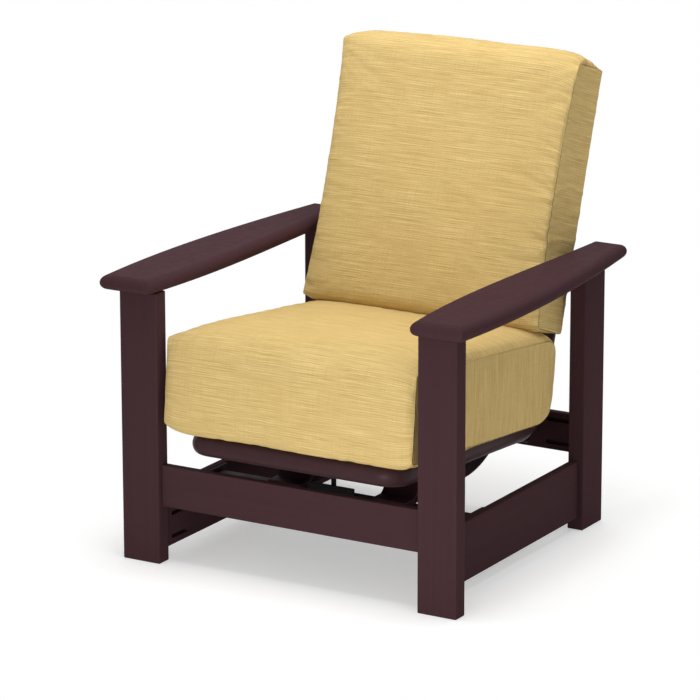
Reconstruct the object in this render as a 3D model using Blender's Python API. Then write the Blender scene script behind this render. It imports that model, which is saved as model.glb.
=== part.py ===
# Glider chair: board legs, rails and arms round a tube-framed seat that rides on four flat springs.
# Metres, +Z up, front towards -Y, left at -X. Heights count from the floor, depths from the front
# legs' front face; the last step moves the chair so that the origin is under the middle of its box.
import math

import bmesh
import bpy
import numpy as np
from mathutils import Vector

# Clearance between pieces that touch
TOUCH = 0.0003

# Legs and rails
LEG_WIDTH = 0.089
LEG_THICKNESS = 0.0365
LEGS_APART = 0.614
REAR_LEG_DEPTH = 0.6443
BOARD_EASE = 0.0022
RAIL_THICKNESS = 0.019
FRONT_RAIL_HEIGHT = 0.089
REAR_RAIL_HEIGHT = 0.084
RAIL_SETBACK = 0.0115
FRONT_RAIL_BOTTOM = 0.123
REAR_RAIL_BOTTOM = 0.149
SIDE_RAIL_HEIGHT = 0.126
SIDE_RAIL_BOTTOM = 0.0258
SIDE_RAIL_SETBACK = 0.005

# Arms: how far the edges stand outside the legs' inner faces at four even stations, front to rear
ARM_TOP = 0.6104
ARM_THICKNESS = 0.032
ARM_OUTER = (0.1170, 0.1260, 0.1107, 0.0777)
ARM_INNER = (-0.0011, -0.0179, -0.0109, -0.0011)
ARM_FRONT_OVERHANG = 0.030
ARM_REAR_OVERHANG = 0.0175

# Fasteners of the boards
RAIL_BOLT_RADIUS = 0.003
RAIL_BOLT_HEAD = 0.0042
RAIL_BOLT_HEAD_LENGTH = 0.005
RAIL_BOLT_REACH = 0.028
RAIL_BOLT_SPACING = 0.0505
SIDE_BOLT_SHARE = 0.345
POCKET_START = 0.020
POCKET_LENGTH = 0.064
POCKET_HEIGHT = 0.0092
PEG_RADIUS = 0.005
PEG_REACH = 0.022
PEG_SPACING = 0.050

# Seat and back tube: an oval loop, bent up at the rear
TUBE_WIDTH = 0.032
TUBE_DEPTH = 0.042
TUBE_CLEARANCE = 0.0494
SEAT_FRONT_DEPTH = 0.0315
SEAT_FRONT_HEIGHT = 0.2624
SEAT_TILT = math.radians(3.8)
BACK_LEAN = math.radians(19.0)
SEAT_LINE = 0.5745
BACK_LINE = 0.746
SIDE_BEND = 0.072
FRONT_CORNER = 0.039
TOP_CORNER = 0.080

# Slats across the tubes, placed from the front tube and from the end of the bend
SLAT_THICKNESS = 0.005
SLAT_WIDTH = 0.040
SLAT_LIFT = 0.014
SEAT_SLAT_FIRST = 0.080
SEAT_SLAT_STEP = 0.084
SEAT_SLAT_COUNT = 6
BACK_SLAT_FIRST = 0.190
BACK_SLAT_STEP = 0.125
BACK_SLAT_COUNT = 4

# Crossbar of the base and saddles of the seat
MEMBER_WIDTH = 0.050
MEMBER_HEIGHT = 0.025
MEMBER_WALL = 0.0025
MEMBER_CORNER = 0.005
CROSSBAR_TOP = 0.141
CROSSBAR_DEPTH = 0.200
END_PLATE_THICKNESS = 0.004
END_PLATE_WIDTH = 0.084
END_PLATE_HEIGHT = 0.044
SCREW_RADIUS = 0.0024
SCREW_HEAD = 0.0045
SCREW_HEAD_LENGTH = 0.0025
SCREW_LENGTH = 0.014
SCREW_EDGE = 0.009
REAR_SADDLE_ANGLE = math.radians(30.0)
REAR_SADDLE_LIFT = -0.026
SADDLE_LAP = 0.002

# Flat springs, their clamp plates and bolts
SPRING_THICKNESS = 0.006
SPRING_WIDTH = 0.079
SPRING_OFFSET = 0.1255
SPRING_EDGE = 0.001
FRONT_SPRING_KNEE = 0.0384
FRONT_SPRING_SLOPE = math.radians(47.0)
FRONT_SPRING_BEND = 0.018
REAR_SPRING_BEND = 0.235
SPRING_BOLT_RADIUS = 0.004
SPRING_BOLT_SPACING = 0.044
SPRING_BOLT_CLEARANCE = 0.0006
SPRING_BOLT_END = 0.004
SPRING_BOLT_SUNK = 0.0035
SPRING_BOLT_FLAT = 0.0075
NUT_THICKNESS = 0.0065
NUT_INRADIUS = 0.0065
CLAMP_THICKNESS = 0.005
CLAMP_WIDTH = 0.022
CROSSBAR_CLAMP_PLACE = 0.018
FRONT_END_CLAMP = 0.006
FRONT_CLAMP_CLEARANCE = 0.0096

# Stop in front of the crossbar
STOP_WIDTH = 0.110
STOP_TOP = 0.172
STOP_FORWARD = 0.020
STOP_PLATE = 0.004
STOP_SHELF = 0.002
STOP_FOLD = 0.005
STOP_POST_RADIUS = 0.0055
STOP_CAP_RADIUS = 0.011
STOP_CAP_HEIGHT = 0.016
STOP_CAP_SOCKET = 0.008
STOP_CAP_EDGE = 0.003
STOP_TRAVEL = 0.0045

# Cushions: seams of the side panels, and how far the middle stands proud of them
SEAT_CUSHION_SIDE = 0.0514
SEAT_SEAM = ((-0.0315, 0.0400), (-0.0252, 0.2230), (0.5760, 0.1965), (0.5680, 0.0236))
SEAT_PROUD = ((-0.014, 0.0), (-0.014, 0.029), (0.004, 0.026), (0.0, 0.0))
SEAT_CORNERS = (0.022, 0.040, 0.042, 0.068)
SEAT_REST = 0.0213
BACK_CUSHION_SIDE = 0.0459
BACK_SEAM = ((0.1950, 0.1314), (0.7650, 0.1314), (0.7650, 0.0180), (0.2150, 0.0180))
BACK_PROUD = ((0.012, 0.018), (0.026, 0.018), (0.026, 0.0), (0.012, 0.0))
BACK_CORNERS = (0.034, 0.030, 0.030, 0.034)
BACK_REST = 0.0217
CROWN_POWER = 5.0
PANEL_BULGE = 0.0045

# Worked out from the sizes above
LEG_HEIGHT = ARM_TOP - ARM_THICKNESS - TOUCH
LEG_INNER = LEGS_APART / 2
CHAIR_REAR = REAR_LEG_DEPTH + LEG_WIDTH
SIDE_RAIL_INNER = LEG_INNER + SIDE_RAIL_SETBACK
FRONT_RAIL_MIDDLE = RAIL_SETBACK + RAIL_THICKNESS / 2
REAR_RAIL_MIDDLE = CHAIR_REAR - RAIL_SETBACK - RAIL_THICKNESS / 2
TUBE_HALF_SPAN = LEG_INNER - TUBE_CLEARANCE - TUBE_WIDTH / 2
BEND_TURN = math.pi / 2 - BACK_LEAN + SEAT_TILT
BEND_TANGENT = SIDE_BEND * math.tan(BEND_TURN / 2)
BEND_START = SEAT_LINE - BEND_TANGENT
BEND_END = BEND_START + SIDE_BEND * BEND_TURN
LOOP_LENGTH = BEND_END + BACK_LINE - BEND_TANGENT
PLATE_INNER = SIDE_RAIL_INNER - TOUCH - END_PLATE_THICKNESS
CROSSBAR_MIDDLE = CROSSBAR_TOP - MEMBER_HEIGHT / 2
REAR_FOOT_HEIGHT = CROSSBAR_TOP + TOUCH + SPRING_THICKNESS / 2
FRONT_FOOT_HEIGHT = REAR_FOOT_HEIGHT + SPRING_THICKNESS + TOUCH
UNDER_SADDLE = -MEMBER_HEIGHT / 2 - TOUCH - SPRING_THICKNESS / 2
BOLT_STACK = CLAMP_THICKNESS + SPRING_THICKNESS + MEMBER_HEIGHT + 2 * TOUCH
SIDES = ((-1, "left"), (1, "right"))
FRONT_SADDLE_LIFT = -TOUCH - MEMBER_HEIGHT / 2
SPRING_LINE_LIFT = FRONT_SADDLE_LIFT + UNDER_SADDLE
SPRING_RISE = math.tan(FRONT_SPRING_SLOPE)
FRONT_SPRING_CORNER = (  # where the flank of the front spring meets the line under its saddle
    (SEAT_FRONT_HEIGHT + SPRING_LINE_LIFT * math.cos(SEAT_TILT) - FRONT_FOOT_HEIGHT
     - SPRING_RISE * (SEAT_FRONT_DEPTH + SPRING_LINE_LIFT * math.sin(SEAT_TILT)
                      - CROSSBAR_DEPTH - FRONT_SPRING_KNEE))
    / (SPRING_RISE * math.cos(SEAT_TILT) + math.sin(SEAT_TILT)))
FRONT_BEND_TANGENT = FRONT_SPRING_BEND * math.tan((FRONT_SPRING_SLOPE + SEAT_TILT) / 2)
FRONT_SADDLE_PLACE = (FRONT_SPRING_CORNER + FRONT_BEND_TANGENT + FRONT_CLAMP_CLEARANCE
                      + CLAMP_WIDTH / 2 - FRONT_END_CLAMP)
SADDLES = {
    "front": (FRONT_SADDLE_PLACE, FRONT_SADDLE_LIFT),
    "rear": (BEND_START + SIDE_BEND * (REAR_SADDLE_ANGLE + SEAT_TILT), REAR_SADDLE_LIFT),
}

FINISHES = {
    "board": ((0.060, 0.030, 0.034, 1.0), 0.48, 0.0),
    "frame_paint": ((0.060, 0.030, 0.034, 1.0), 0.34, 0.15),
    "fabric": ((0.72, 0.50, 0.20, 1.0), 0.92, 0.0),
    "zinc": ((0.55, 0.56, 0.58, 1.0), 0.38, 1.0),
    "black_steel": ((0.02, 0.02, 0.022, 1.0), 0.5, 0.6),
    "black_rubber": ((0.018, 0.018, 0.018, 1.0), 0.8, 0.0),
}


def clear_scene():
    for thing in list(bpy.data.objects):
        bpy.data.objects.remove(thing, do_unlink=True)


def material(finish, name):
    colour, roughness, metallic = FINISHES[finish]
    made = bpy.data.materials.new(name)
    made.use_nodes = True
    shader = made.node_tree.nodes["Principled BSDF"]
    shader.inputs["Base Color"].default_value = colour
    shader.inputs["Roughness"].default_value = roughness
    shader.inputs["Metallic"].default_value = metallic
    made.diffuse_color = colour
    return made


def add_empty(name, place, parent=None):
    made = bpy.data.objects.new(name, None)
    bpy.context.scene.collection.objects.link(made)
    made.location = place
    made.parent = parent
    return made


def add_object(name, mesh, parent, finish=None):
    """Links a mesh given in chair coordinates and hangs it on its parent empty."""
    made = bpy.data.objects.new(name, mesh)
    bpy.context.scene.collection.objects.link(made)
    if finish:
        made.data.materials.append(material(finish, name))
    made.parent = parent
    if parent.parent:
        made.location = -parent.location
    return made


def combine(piece, mesh, name, operation="DIFFERENCE"):
    """Cuts a mesh of tools, given in chair coordinates, out of a piece, or joins it on."""
    tool = add_object(piece.name + "_" + name, mesh, piece.parent)
    tool.hide_render = True
    tool.display_type = "WIRE"
    modifier = piece.modifiers.new(name, "BOOLEAN")
    modifier.operation = operation
    modifier.solver = "EXACT"
    modifier.object = tool


def add_rings(shape, rings, loop=False):
    """Joins rings of points with quads, and closes the ends with a face unless they form a loop."""
    made = [[shape.verts.new(point) for point in ring] for ring in rings]
    count = len(made[0])
    pairs = list(zip(made, made[1:]))
    if loop:
        pairs.append((made[-1], made[0]))
    for first, second in pairs:
        for k in range(count):
            after = (k + 1) % count
            shape.faces.new((first[k], first[after], second[after], second[k]))
    if not loop:
        shape.faces.new(made[0][::-1])
        shape.faces.new(made[-1])


def finished_mesh(shape, name, sharp=math.radians(35)):
    """Mesh of a shape with faces outward, smooth up to an angle; 0 keeps every face flat."""
    bmesh.ops.recalc_face_normals(shape, faces=shape.faces)
    mesh = bpy.data.meshes.new(name)
    shape.to_mesh(mesh)
    shape.free()
    if sharp:
        mesh.shade_smooth()
        mesh.set_sharp_from_angle(angle=sharp)
    return mesh


def add_box(shape, low, high):
    rings = []
    for z in (low[2], high[2]):
        rings.append([(low[0], low[1], z), (high[0], low[1], z), (high[0], high[1], z), (low[0], high[1], z)])
    add_rings(shape, rings)


def add_rod(shape, start, along, stations, sides=8, hexagons=()):
    """Stepped rod through stations of a distance and a radius; the stations named are hexagons."""
    axis = Vector(along).normalized()
    first = axis.orthogonal().normalized()
    second = axis.cross(first)
    rings = []
    for number, (distance, radius) in enumerate(stations):
        ring = []
        for k in range(sides):
            angle = 2 * math.pi * k / sides
            reach = radius
            if number in hexagons and k % 2 == 0:
                reach = radius / math.cos(math.pi / 6)
            spoke = first * math.cos(angle) + second * math.sin(angle)
            ring.append(Vector(start) + axis * distance + spoke * reach)
        rings.append(ring)
    add_rings(shape, rings)


def add_plate(shape, place, across, along, up):
    """Flat plate: its reach across the chair, then along and up in the section given by place."""
    rings = []
    for x in across:
        corners = ((along[0], up[0]), (along[1], up[0]), (along[1], up[1]), (along[0], up[1]))
        rings.append([(x,) + place(a, b) for a, b in corners])
    add_rings(shape, rings)


def rounded(points, radii, steps, closed=False):
    """Points of a flat path with each corner replaced by an arc of its radius."""
    made = []
    for k, point in enumerate(points):
        corner = np.array(point, float)
        if radii[k] == 0 or (not closed and k in (0, len(points) - 1)):
            made.append(tuple(corner))
            continue
        before = np.array(points[k - 1], float) - corner
        after = np.array(points[(k + 1) % len(points)], float) - corner
        before /= np.linalg.norm(before)
        after /= np.linalg.norm(after)
        half = math.acos(float(np.clip(before @ after, -1, 1))) / 2
        middle = (before + after) / np.linalg.norm(before + after)
        centre = corner + middle * radii[k] / math.sin(half)
        spoke = corner + before * radii[k] / math.tan(half) - centre
        turn = 1.0 if before[0] * after[1] < before[1] * after[0] else -1.0
        for step in range(steps + 1):
            angle = turn * (math.pi - 2 * half) * step / steps
            c, s = math.cos(angle), math.sin(angle)
            made.append((centre[0] + spoke[0] * c - spoke[1] * s, centre[1] + spoke[0] * s + spoke[1] * c))
    return made


def strip_rings(path, thickness, low, high):
    """Rings of a flat strip carried along a path of depths and heights."""
    steps = np.diff(np.array(path), axis=0)
    steps /= np.linalg.norm(steps, axis=1)[:, None]
    into = np.vstack((steps[:1], steps))
    onward = np.vstack((steps, steps[-1:]))
    mean = into + onward
    mean /= np.linalg.norm(mean, axis=1)[:, None]
    reach = thickness / 2 / np.sum(mean * onward, axis=1)
    up = np.column_stack((-mean[:, 1], mean[:, 0])) * reach[:, None]
    rings = []
    for point, lift in zip(np.array(path), up):
        over = point + lift
        under = point - lift
        rings.append([(low, *under), (high, *under), (high, *over), (low, *over)])
    return rings


def side_line(distance, lift=0.0):
    """Depth, height and slope at a distance along the frame's side line, lifted square to it."""
    straight = min(distance, BEND_START)
    depth = SEAT_FRONT_DEPTH + straight * math.cos(SEAT_TILT)
    height = SEAT_FRONT_HEIGHT - straight * math.sin(SEAT_TILT)
    turned = min(max(distance - BEND_START, 0.0) / SIDE_BEND, BEND_TURN)
    slope = turned - SEAT_TILT
    depth += SIDE_BEND * (math.sin(slope) + math.sin(SEAT_TILT))
    height += SIDE_BEND * (math.cos(SEAT_TILT) - math.cos(slope))
    rest = max(distance - BEND_END, 0.0)
    depth += rest * math.cos(slope) - lift * math.sin(slope)
    height += rest * math.sin(slope) + lift * math.cos(slope)
    return depth, height, slope


def frame_at(distance, lift=0.0):
    """Function that turns a point along and above the side line, from a place on it, to depth and height."""
    depth, height, slope = side_line(distance, lift)

    def place(along, up):
        return (depth + along * math.cos(slope) - up * math.sin(slope),
                height + along * math.sin(slope) + up * math.cos(slope))
    return place


def add_board(name, low, high, parent):
    shape = bmesh.new()
    add_box(shape, low, high)
    piece = add_object(name, finished_mesh(shape, name, 0), parent, "board")
    bevel = piece.modifiers.new("eased_edges", "BEVEL")
    bevel.width = BOARD_EASE
    bevel.segments = 2
    bevel.limit_method = "NONE"
    return piece


def leg_boxes():
    """Name, low and high corner of each leg."""
    boxes = []
    for side, word in SIDES:
        for row, first, wide, deep in (("front", 0.0, LEG_WIDTH, LEG_THICKNESS),
                                       ("rear", REAR_LEG_DEPTH, LEG_THICKNESS, LEG_WIDTH)):
            ends = sorted((side * LEG_INNER, side * (LEG_INNER + wide)))
            boxes.append((row + "_leg_" + word, (ends[0], first, 0.0), (ends[1], first + deep, LEG_HEIGHT)))
    return boxes


def make_legs_and_rails(base):
    pieces = {}
    for name, low, high in leg_boxes():
        pieces[name] = add_board(name, low, high, base)
    for side, word in SIDES:
        ends = sorted((side * SIDE_RAIL_INNER, side * (SIDE_RAIL_INNER + RAIL_THICKNESS)))
        low = (ends[0], LEG_THICKNESS + TOUCH, SIDE_RAIL_BOTTOM)
        high = (ends[1], REAR_LEG_DEPTH - TOUCH, SIDE_RAIL_BOTTOM + SIDE_RAIL_HEIGHT)
        pieces["side_rail_" + word] = add_board("side_rail_" + word, low, high, base)
    reach = LEG_INNER - TOUCH
    half = RAIL_THICKNESS / 2
    for name, middle, bottom, height in (
            ("front_rail", FRONT_RAIL_MIDDLE, FRONT_RAIL_BOTTOM, FRONT_RAIL_HEIGHT),
            ("rear_rail", REAR_RAIL_MIDDLE, REAR_RAIL_BOTTOM, REAR_RAIL_HEIGHT)):
        low = (-reach, middle - half, bottom)
        high = (reach, middle + half, bottom + height)
        pieces[name] = add_board(name, low, high, base)
    return pieces


def arm_edge(offsets, share):
    """Smooth edge through four even stations, by Lagrange's formula."""
    total = 0.0
    for k, offset in enumerate(offsets):
        term = LEG_INNER + offset
        for m in range(4):
            if m != k:
                term *= (share * 3 - m) / (k - m)
        total += term
    return total


def make_arm(side, word, base, steps=14, rounds=6):
    """Curved board with half-round edges: outlines stacked from its underside to its top."""
    radius = ARM_THICKNESS / 2
    front = -ARM_FRONT_OVERHANG
    rear = CHAIR_REAR + ARM_REAR_OVERHANG
    rings = []
    for level in range(rounds + 1):
        angle = math.pi * (level / rounds - 0.5)
        inset = radius * (1 - math.cos(angle))
        height = ARM_TOP - radius + radius * math.sin(angle)
        outer = []
        inner = []
        for k in range(steps + 1):
            depth = front + inset + (rear - front - 2 * inset) * k / steps
            share = (depth - front) / (rear - front)
            outer.append((side * (arm_edge(ARM_OUTER, share) - inset), depth, height))
            inner.append((side * (arm_edge(ARM_INNER, share) + inset), depth, height))
        rings.append(outer + inner[::-1])
    shape = bmesh.new()
    add_rings(shape, rings)
    name = "arm_" + word
    return add_object(name, finished_mesh(shape, name, math.radians(50)), base, "board")


def rail_bolt_places():
    """Rail, leg, start at the pocket's end wall, direction and open side of every rail bolt."""
    places = []
    spread = (-RAIL_BOLT_SPACING / 2, RAIL_BOLT_SPACING / 2)
    for side, word in SIDES:
        x = side * (SIDE_RAIL_INNER + RAIL_THICKNESS / 2)
        for shift in spread:
            height = SIDE_RAIL_BOTTOM + SIDE_RAIL_HEIGHT * SIDE_BOLT_SHARE + shift
            rail = "side_rail_" + word
            start = (x, LEG_THICKNESS + POCKET_START, height)
            places.append((rail, "front_leg_" + word, start, (0, -1, 0), (-side, 0, 0)))
            start = (x, REAR_LEG_DEPTH - POCKET_START, height)
            places.append((rail, "rear_leg_" + word, start, (0, 1, 0), (-side, 0, 0)))
            start = (side * (LEG_INNER - POCKET_START), FRONT_RAIL_MIDDLE,
                     FRONT_RAIL_BOTTOM + FRONT_RAIL_HEIGHT / 2 + shift)
            places.append(("front_rail", "front_leg_" + word, start, (side, 0, 0), (0, 1, 0)))
            start = (side * (LEG_INNER - POCKET_START), REAR_RAIL_MIDDLE,
                     REAR_RAIL_BOTTOM + REAR_RAIL_HEIGHT / 2 + shift)
            places.append(("rear_rail", "rear_leg_" + word, start, (side, 0, 0), (0, -1, 0)))
    return places


def add_pocket(shape, start, along, open_to):
    """Slot for a rail bolt's head, open on one face of the rail."""
    out = Vector(open_to)
    near = Vector(start) - out * (RAIL_BOLT_HEAD + TOUCH)
    far = Vector(start) - Vector(along) * POCKET_LENGTH + out * RAIL_THICKNESS
    near.z -= POCKET_HEIGHT / 2
    far.z += POCKET_HEIGHT / 2
    add_box(shape, [min(a, b) for a, b in zip(near, far)], [max(a, b) for a, b in zip(near, far)])


def cut_all(pieces, tools, name):
    for piece, shape in tools.items():
        combine(pieces[piece], finished_mesh(shape, piece + "_" + name), name)


def make_rail_bolts(pieces, base):
    """Bolts from pockets in the rails through the end grain into the legs."""
    pockets = {}
    bores = {}
    reach = POCKET_START + RAIL_BOLT_REACH
    shape = bmesh.new()
    add_rod(shape, (0, 0, 0), (0, 0, 1), (
        (-TOUCH - RAIL_BOLT_HEAD_LENGTH, RAIL_BOLT_HEAD), (-TOUCH, RAIL_BOLT_HEAD), (-TOUCH, RAIL_BOLT_RADIUS),
        (reach - RAIL_BOLT_RADIUS, RAIL_BOLT_RADIUS), (reach, RAIL_BOLT_RADIUS / 2)))
    mesh = finished_mesh(shape, "rail_bolt")
    mesh.materials.append(material("zinc", "rail_bolt"))
    bore = ((-TOUCH, RAIL_BOLT_RADIUS + TOUCH), (reach + TOUCH, RAIL_BOLT_RADIUS + TOUCH))
    for number, (rail, leg, start, along, open_to) in enumerate(rail_bolt_places(), 1):
        bolt = add_object("rail_bolt_" + str(number), mesh, base)
        bolt.location = start
        bolt.rotation_euler = Vector(along).to_track_quat("Z", "Y").to_euler()
        add_pocket(pockets.setdefault(rail, bmesh.new()), start, along, open_to)
        for name in (rail, leg):
            add_rod(bores.setdefault(name, bmesh.new()), start, along, bore)
    cut_all(pieces, pockets, "pockets")
    cut_all(pieces, bores, "bolt_bores")


def make_pegs(pieces):
    """Two pegs on the top of each leg, in bores of the arm."""
    bores = {"arm_left": bmesh.new(), "arm_right": bmesh.new()}
    for leg, low, high in leg_boxes():
        pegs = bmesh.new()
        across = PEG_SPACING / 2 if leg.startswith("front") else 0.0
        deep = PEG_SPACING / 2 - across
        for sign in (-1, 1):
            foot = ((low[0] + high[0]) / 2 + sign * across, (low[1] + high[1]) / 2 + sign * deep, LEG_HEIGHT)
            add_rod(pegs, foot, (0, 0, 1), (
                (-PEG_RADIUS, PEG_RADIUS), (PEG_REACH - PEG_RADIUS / 4, PEG_RADIUS),
                (PEG_REACH, PEG_RADIUS * 3 / 4)))
            arm = "arm_" + leg.split("_")[-1]
            add_rod(bores[arm], foot, (0, 0, 1), ((-TOUCH, PEG_RADIUS + TOUCH), (PEG_REACH + TOUCH, PEG_RADIUS + TOUCH)))
        combine(pieces[leg], finished_mesh(pegs, leg + "_pegs"), "pegs", "UNION")
    cut_all(pieces, bores, "peg_bores")


def member_mesh(name, place, half_length):
    """Rectangular tube across the chair; place turns a section point to depth and height."""
    rings = []
    for inset, ends in ((0.0, (-1, 1)), (MEMBER_WALL, (1, -1))):
        a = MEMBER_WIDTH / 2 - inset
        b = MEMBER_HEIGHT / 2 - inset
        outline = rounded([(-a, -b), (a, -b), (a, b), (-a, b)], [MEMBER_CORNER - inset] * 4, 2, closed=True)
        for end in ends:
            rings.append([(end * half_length,) + place(along, up) for along, up in outline])
    shape = bmesh.new()
    add_rings(shape, rings, loop=True)
    return finished_mesh(shape, name)


def crossbar_at(along, up):
    """Depth and height of a point of the crossbar's section."""
    return CROSSBAR_DEPTH + MEMBER_WIDTH / 2 + along, CROSSBAR_MIDDLE + up


def make_crossbar(pieces, base):
    """Crossbar of the base, with welded end plates and their screws in the side rails."""
    rail_bores = {}
    half_plate = (END_PLATE_WIDTH / 2, END_PLATE_HEIGHT / 2)
    mesh = member_mesh("crossbar", crossbar_at, PLATE_INNER + END_PLATE_THICKNESS / 2)
    pieces["crossbar"] = add_object("crossbar", mesh, base, "frame_paint")
    plates = bmesh.new()
    screws = bmesh.new()
    for side, hand in SIDES:
        across = sorted((side * PLATE_INNER, side * (PLATE_INNER + END_PLATE_THICKNESS)))
        add_plate(plates, crossbar_at, across, (-half_plate[0], half_plate[0]), (-half_plate[1], half_plate[1]))
        for sign in (-1, 1):
            spot = (side * PLATE_INNER,) + crossbar_at(sign * (half_plate[0] - SCREW_EDGE), 0.0)
            add_rod(screws, spot, (side, 0, 0), (
                (-SCREW_HEAD_LENGTH, SCREW_HEAD * 0.8), (-SCREW_HEAD_LENGTH / 2, SCREW_HEAD),
                (SCREW_HEAD_LENGTH / 2, SCREW_HEAD), (SCREW_HEAD_LENGTH / 2, SCREW_RADIUS),
                (SCREW_LENGTH - SCREW_RADIUS, SCREW_RADIUS), (SCREW_LENGTH, SCREW_RADIUS / 4)))
            add_rod(rail_bores.setdefault("side_rail_" + hand, bmesh.new()), spot, (side, 0, 0),
                    ((0.0, SCREW_RADIUS + TOUCH), (SCREW_LENGTH + TOUCH, SCREW_RADIUS + TOUCH)))
    combine(pieces["crossbar"], finished_mesh(plates, "crossbar_plates"), "end_plates", "UNION")
    combine(pieces["crossbar"], finished_mesh(screws, "crossbar_screws"), "screws", "UNION")
    cut_all(pieces, rail_bores, "screw_bores")


def tube_mesh(name, growth=0.0, sides=16, corner_steps=7, bend_steps=8):
    """Seat and back loop: a rounded rectangle carried up the bent side line, with an oval section."""
    span = TUBE_HALF_SPAN
    corners = [(-span, 0.0), (span, 0.0), (span, LOOP_LENGTH), (-span, LOOP_LENGTH)]
    radii = (FRONT_CORNER, FRONT_CORNER, TOP_CORNER, TOP_CORNER)
    flat = rounded(corners, radii, corner_steps, closed=True)
    half = len(flat) // 2
    bend = [BEND_START + (BEND_END - BEND_START) * k / bend_steps for k in range(bend_steps + 1)]
    path = np.array(flat[:half] + [(span, distance) for distance in bend]
                    + flat[half:] + [(-span, distance) for distance in reversed(bend)])
    along = np.roll(path, -1, axis=0) - np.roll(path, 1, axis=0)
    along /= np.linalg.norm(along, axis=1)[:, None]
    rings = []
    for (x, distance), (run, rise) in zip(path, along):
        ring = []
        for m in range(sides):
            angle = 2 * math.pi * m / sides
            out = (TUBE_WIDTH / 2 + growth) * math.cos(angle)
            lift = (TUBE_DEPTH / 2 + growth) * math.sin(angle)
            depth, height, slope = side_line(distance - out * run, lift)
            ring.append((x + out * rise, depth, height))
        rings.append(ring)
    shape = bmesh.new()
    add_rings(shape, rings, loop=True)
    return finished_mesh(shape, name, math.radians(50))


def make_seat_frame(pieces, seat):
    """Tube loop, saddles coped to it and slats across it."""
    add_object("seat_back_frame", tube_mesh("seat_back_frame"), seat, "frame_paint")
    cope = tube_mesh("saddle_cope", TOUCH)
    for word, (distance, lift) in SADDLES.items():
        name = word + "_saddle"
        mesh = member_mesh(name, frame_at(distance, lift), TUBE_HALF_SPAN - SADDLE_LAP)
        pieces[name] = add_object(name, mesh, seat, "frame_paint")
        combine(pieces[name], cope, "cope")

    under = SLAT_LIFT - SLAT_THICKNESS / 2
    notch = TUBE_WIDTH / 2 * math.sqrt(1 - (2 * under / TUBE_DEPTH) ** 2)
    reach = TUBE_HALF_SPAN - notch - TOUCH
    slats = [("seat_slat_", SEAT_SLAT_FIRST + SEAT_SLAT_STEP * k, k) for k in range(SEAT_SLAT_COUNT)]
    slats += [("back_slat_", BEND_END + BACK_SLAT_FIRST + BACK_SLAT_STEP * k, k) for k in range(BACK_SLAT_COUNT)]
    for word, distance, k in slats:
        name = word + str(k + 1)
        shape = bmesh.new()
        add_plate(shape, frame_at(distance), (-reach, reach), (-SLAT_WIDTH / 2, SLAT_WIDTH / 2),
                  (under, under + SLAT_THICKNESS))
        add_object(name, finished_mesh(shape, name), seat, "frame_paint")


def front_spring_path():
    """Foot on the rear spring's, a steep flank and a flat end under the front saddle."""
    foot = (CROSSBAR_DEPTH + SPRING_EDGE, FRONT_FOOT_HEIGHT)
    knee = (CROSSBAR_DEPTH + FRONT_SPRING_KNEE, FRONT_FOOT_HEIGHT)
    corner = frame_at(FRONT_SPRING_CORNER, FRONT_SADDLE_LIFT)(0.0, UNDER_SADDLE)
    end = frame_at(*SADDLES["front"])(MEMBER_WIDTH / 2 - SPRING_EDGE, UNDER_SADDLE)
    return [foot, knee, corner, end]


def rear_spring_path():
    """Foot on the crossbar, a level run to the rear and one long sweep up to the rear saddle."""
    foot = (CROSSBAR_DEPTH + SPRING_EDGE, REAR_FOOT_HEIGHT)
    place = frame_at(*SADDLES["rear"])
    hold = place(0.0, UNDER_SADDLE)
    knee = (hold[0] - (hold[1] - REAR_FOOT_HEIGHT) / math.tan(REAR_SADDLE_ANGLE), REAR_FOOT_HEIGHT)
    return [foot, knee, place(MEMBER_WIDTH / 2 - SPRING_EDGE, UNDER_SADDLE)]


def rock_axis():
    """Depth and height where the chords of the front and rear springs cross; the seat turns there."""
    knee = front_spring_path()[1]
    root = (CROSSBAR_DEPTH + MEMBER_WIDTH, REAR_FOOT_HEIGHT)
    hold = frame_at(*SADDLES["rear"])(0.0, UNDER_SADDLE)
    rear_slope = (hold[1] - root[1]) / (hold[0] - root[0])
    depth = (SPRING_RISE * knee[0] - rear_slope * root[0] + root[1] - knee[1]) / (SPRING_RISE - rear_slope)
    return depth, knee[1] + SPRING_RISE * (depth - knee[0])


def spring_ends():
    """Clamps: the member, its body, its springs and the frame of its section."""
    def crossbar(along, up):
        depth = CROSSBAR_CLAMP_PLACE - MEMBER_WIDTH / 2 + along
        return crossbar_at(depth, up - MEMBER_HEIGHT / 2 - TOUCH - CLAMP_THICKNESS)

    def saddle(word, shift):
        turn = frame_at(*SADDLES[word])

        def place(along, up):
            return turn(shift + along, up + MEMBER_HEIGHT / 2 - BOLT_STACK)
        return place
    return (("crossbar", "base", ("front", "rear"), crossbar),
            ("front_saddle", "seat", ("front",), saddle("front", FRONT_END_CLAMP)),
            ("rear_saddle", "seat", ("rear",), saddle("rear", 0.0)))


def bolt_stations(springs):
    """Bolt from its nut under the clamp plate: a second nut on a saddle, or a sunk head in the upper spring."""
    nut = NUT_INRADIUS
    shank = SPRING_BOLT_RADIUS
    stations = [(-NUT_THICKNESS, nut), (TOUCH, nut), (TOUCH, shank)]
    if springs == 1:
        end = BOLT_STACK + TOUCH
        return stations + [(end, shank), (end, nut), (end + NUT_THICKNESS, nut), (end + NUT_THICKNESS, shank),
                           (end + NUT_THICKNESS + SPRING_BOLT_END, shank)]
    end = BOLT_STACK + SPRING_THICKNESS
    return stations + [(end - SPRING_BOLT_SUNK, shank), (end, SPRING_BOLT_FLAT)]


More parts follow.
